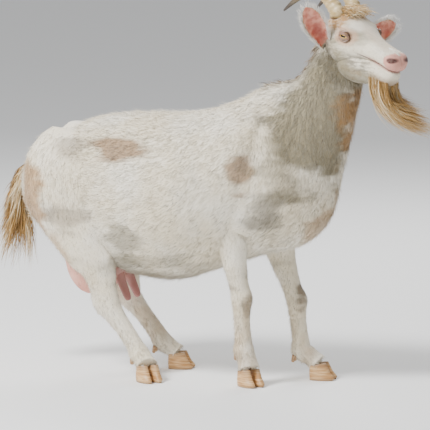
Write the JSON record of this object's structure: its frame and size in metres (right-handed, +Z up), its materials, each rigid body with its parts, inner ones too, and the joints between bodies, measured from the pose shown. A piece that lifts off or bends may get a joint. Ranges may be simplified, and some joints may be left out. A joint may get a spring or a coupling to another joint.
{
  "type": "dairy goat",
  "caption": "Standing horned white dairy doe with turned head, beard, full udder and cloven hooves, jointed at neck, head, jaw, ears, tail and every leg.",
  "frame": {"origin": "bottom centre of the bounding box, on the ground under the belly", "axes": "+X towards the head, +Y to the goat's left, +Z up"},
  "size_m": [1.2614, 0.3682, 1.0549],
  "materials": {
    "coat": "short white goat hair over soft muscle",
    "long_hair": "long cream and ochre hair",
    "ear_skin": "thin pink skin with short hair",
    "udder_skin": "bare pink skin",
    "tongue": "wet soft muscle",
    "bone": "matte bone and enamel",
    "hoof": "smooth tan hoof horn",
    "horn": "ridged tan horn, dark at the tip",
    "eye": "wet amber eye"
  },
  "bodies": {
    "trunk": {"barrel": "coat", "backbone": "bone", "rib_cage": "bone", "pelvis": "bone", "shoulder_blades": "bone", "udder": "udder_skin"},
    "neck": {"neck_muscle": "coat", "neck_vertebrae": "bone"},
    "atlas": {"atlas_vertebra": "bone"},
    "head": {"face_flesh": "coat", "skull": "bone", "right_horn": "horn", "left_horn": "horn"},
    "jaw": {"jawbone": "bone", "lower_teeth": "bone", "tongue": "tongue", "chin_and_lip": "coat", "beard": "long_hair"},
    "right_ear_flap": {"right_ear": "ear_skin"},
    "left_ear_flap": {"left_ear": "ear_skin"},
    "right_eyeball": {"right_eye": "eye"},
    "left_eyeball": {"left_eye": "eye"},
    "tail": {"tail_bones": "bone", "tail_tuft": "long_hair"},
    "right_upper_arm": {"right_humerus": "bone", "right_upper_arm_muscle": "coat"},
    "right_forearm": {"right_forearm_bone": "bone", "right_forearm_muscle": "coat"},
    "right_fore_cannon": {"right_fore_cannon_bone": "bone", "right_fore_cannon_sleeve": "coat"},
    "right_fore_foot": {"right_fore_pastern_bones": "bone", "right_fore_pastern_sleeve": "coat", "right_fore_claws": "hoof"},
    "right_thigh": {"right_femur": "bone", "right_thigh_muscle": "coat"},
    "right_gaskin": {"right_shin_bone": "bone", "right_gaskin_muscle": "coat"},
    "right_hind_cannon": {"right_hind_cannon_bone": "bone", "right_hind_cannon_sleeve": "coat"},
    "right_hind_foot": {"right_hind_pastern_bones": "bone", "right_hind_pastern_sleeve": "coat", "right_hind_claws": "hoof"},
    "left_upper_arm": {"left_humerus": "bone", "left_upper_arm_muscle": "coat"},
    "left_forearm": {"left_forearm_bone": "bone", "left_forearm_muscle": "coat"},
    "left_fore_cannon": {"left_fore_cannon_bone": "bone", "left_fore_cannon_sleeve": "coat"},
    "left_fore_foot": {"left_fore_pastern_bones": "bone", "left_fore_pastern_sleeve": "coat", "left_fore_claws": "hoof"},
    "left_thigh": {"left_femur": "bone", "left_thigh_muscle": "coat"},
    "left_gaskin": {"left_shin_bone": "bone", "left_gaskin_muscle": "coat"},
    "left_hind_cannon": {"left_hind_cannon_bone": "bone", "left_hind_cannon_sleeve": "coat"},
    "left_hind_foot": {"left_hind_pastern_bones": "bone", "left_hind_pastern_sleeve": "coat", "left_hind_claws": "hoof"}
  },
  "joints": [
    {"name": "neck_lower", "type": "hinge", "parent": "trunk", "child": "neck", "pos_m": [0.20394, 0, 0.648], "axis": [0, 1, 0], "range_deg": [-8, 42]},
    {"name": "head_turn", "type": "hinge", "parent": "neck", "child": "atlas", "pos_m": [0.32718, 0.0121, 0.91305], "axis": [0, 0, 1], "range_deg": [-25, 50]},
    {"name": "head_nod", "type": "hinge", "parent": "atlas", "child": "head", "pos_m": [0.32718, 0.0121, 0.93805], "axis": [0.4695, 0.8829, 0], "range_deg": [-28, 5]},
    {"name": "jaw_open", "type": "hinge", "parent": "head", "child": "jaw", "pos_m": [0.35486, -0.00261, 0.92428], "axis": [0.4695, 0.8829, 0], "range_deg": [0, 16]},
    {"name": "right_ear_swivel", "type": "hinge", "parent": "head", "child": "right_ear_flap", "pos_m": [0.3129, -0.05392, 0.93661], "axis": [0.159, -0.7059, 0.6902], "range_deg": [-10, 10]},
    {"name": "right_eye_roll", "type": "hinge", "parent": "head", "child": "right_eyeball", "pos_m": [0.37595, -0.07159, 0.93378], "axis": [0.4695, 0.8829, 0], "range_deg": [-35, 35]},
    {"name": "left_ear_swivel", "type": "hinge", "parent": "head", "child": "left_ear_flap", "pos_m": [0.37393, 0.06086, 0.93661], "axis": [0.6741, 0.2629, 0.6902], "range_deg": [-10, 10]},
    {"name": "left_eye_roll", "type": "hinge", "parent": "head", "child": "left_eyeball", "pos_m": [0.42384, 0.01847, 0.93378], "axis": [0.4695, 0.8829, 0], "range_deg": [-35, 35]},
    {"name": "tail_raise", "type": "hinge", "parent": "trunk", "child": "tail", "pos_m": [-0.55006, 0, 0.536], "axis": [0, 1, 0], "range_deg": [-4, 80]},
    {"name": "right_shoulder", "type": "hinge", "parent": "trunk", "child": "right_upper_arm", "pos_m": [0.17594, -0.1, 0.56], "axis": [0, 1, 0], "range_deg": [-18, 10]},
    {"name": "right_elbow", "type": "hinge", "parent": "right_upper_arm", "child": "right_forearm", "pos_m": [0.05896, -0.092, 0.42058], "axis": [0, 1, 0], "range_deg": [-25, 8]},
    {"name": "right_knee", "type": "hinge", "parent": "right_forearm", "child": "right_fore_cannon", "pos_m": [0.08778, -0.078, 0.22772], "axis": [0, 1, 0], "range_deg": [0, 60]},
    {"name": "right_fore_fetlock", "type": "hinge", "parent": "right_fore_cannon", "child": "right_fore_foot", "pos_m": [0.09768, -0.075, 0.09609], "axis": [0.5592, 0.829, 0], "range_deg": [-18, 40]},
    {"name": "right_hip", "type": "hinge", "parent": "trunk", "child": "right_thigh", "pos_m": [-0.43906, -0.084, 0.596], "axis": [0, 1, 0], "range_deg": [-10, 20]},
    {"name": "right_stifle", "type": "hinge", "parent": "right_thigh", "child": "right_gaskin", "pos_m": [-0.32326, -0.108, 0.43662], "axis": [0, 1, 0], "range_deg": [-5, 40]},
    {"name": "right_hock", "type": "hinge", "parent": "right_gaskin", "child": "right_hind_cannon", "pos_m": [-0.2824, -0.096, 0.19506], "axis": [0, 1, 0], "range_deg": [-38, 12]},
    {"name": "right_hind_fetlock", "type": "hinge", "parent": "right_hind_cannon", "child": "right_hind_foot", "pos_m": [-0.1935, -0.095, 0.06809], "axis": [0.6428, 0.766, 0], "range_deg": [-15, 40]},
    {"name": "left_shoulder", "type": "hinge", "parent": "trunk", "child": "left_upper_arm", "pos_m": [0.17594, 0.1, 0.56], "axis": [0, 1, 0], "range_deg": [-18, 10]},
    {"name": "left_elbow", "type": "hinge", "parent": "left_upper_arm", "child": "left_forearm", "pos_m": [0.1137, 0.092, 0.38898], "axis": [0, 1, 0], "range_deg": [-25, 8]},
    {"name": "left_knee", "type": "hinge", "parent": "left_forearm", "child": "left_fore_cannon", "pos_m": [0.18326, 0.078, 0.20681], "axis": [0, 1, 0], "range_deg": [0, 60]},
    {"name": "left_fore_fetlock", "type": "hinge", "parent": "left_fore_cannon", "child": "left_fore_foot", "pos_m": [0.20436, 0.075, 0.0765], "axis": [-0.1045, 0.9945, 0], "range_deg": [-18, 40]},
    {"name": "left_hip", "type": "hinge", "parent": "trunk", "child": "left_thigh", "pos_m": [-0.43906, 0.084, 0.596], "axis": [0, 1, 0], "range_deg": [-10, 20]},
    {"name": "left_stifle", "type": "hinge", "parent": "left_thigh", "child": "left_gaskin", "pos_m": [-0.32326, 0.108, 0.43662], "axis": [0, 1, 0], "range_deg": [-5, 40]},
    {"name": "left_hock", "type": "hinge", "parent": "left_gaskin", "child": "left_hind_cannon", "pos_m": [-0.30319, 0.096, 0.19245], "axis": [0, 1, 0], "range_deg": [-38, 12]},
    {"name": "left_hind_fetlock", "type": "hinge", "parent": "left_hind_cannon", "child": "left_hind_foot", "pos_m": [-0.20564, 0.095, 0.07199], "axis": [-0.1392, 0.9903, 0], "range_deg": [-15, 40]}
  ],
  "couplings": [
    {"joint": "right_eye_roll", "follows": "head_nod", "ratio": -1},
    {"joint": "left_eye_roll", "follows": "head_nod", "ratio": -1}
  ]
}
